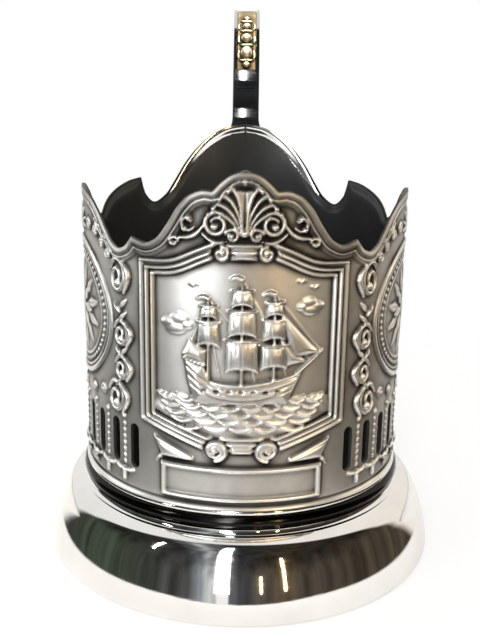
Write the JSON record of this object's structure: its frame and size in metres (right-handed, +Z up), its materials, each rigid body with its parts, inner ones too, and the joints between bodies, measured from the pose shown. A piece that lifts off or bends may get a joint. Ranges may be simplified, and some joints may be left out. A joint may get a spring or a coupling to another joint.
{
  "type": "tea glass holder",
  "caption": "Round metal holder for a tea glass: scalloped, pierced wall with raised panel and medallions, loop handle with thumb rest, and a flared hollow foot.",
  "frame": {"origin": "centre of the foot's ring, on the table", "axes": "+Z up along the glass's axis, -Y the side with the picture panel, +Y the handle"},
  "size_m": [0.0882, 0.1126, 0.1192],
  "materials": {
    "blackened_plate": "nickel-plated brass, satin, blackened in the hollows",
    "polished_plate": "nickel-plated brass, mirror polish",
    "braze": "brazed joint, plated over"
  },
  "bodies": {
    "root": {"sleeve": "blackened_plate", "sleeve_seam": "braze", "floor_plate": "polished_plate", "neck_ring": "polished_plate", "foot": "polished_plate", "upper_lug": "polished_plate", "lower_lug": "polished_plate", "handle_band": "polished_plate", "thumb_rest": "blackened_plate"}
  },
  "joints": []
}
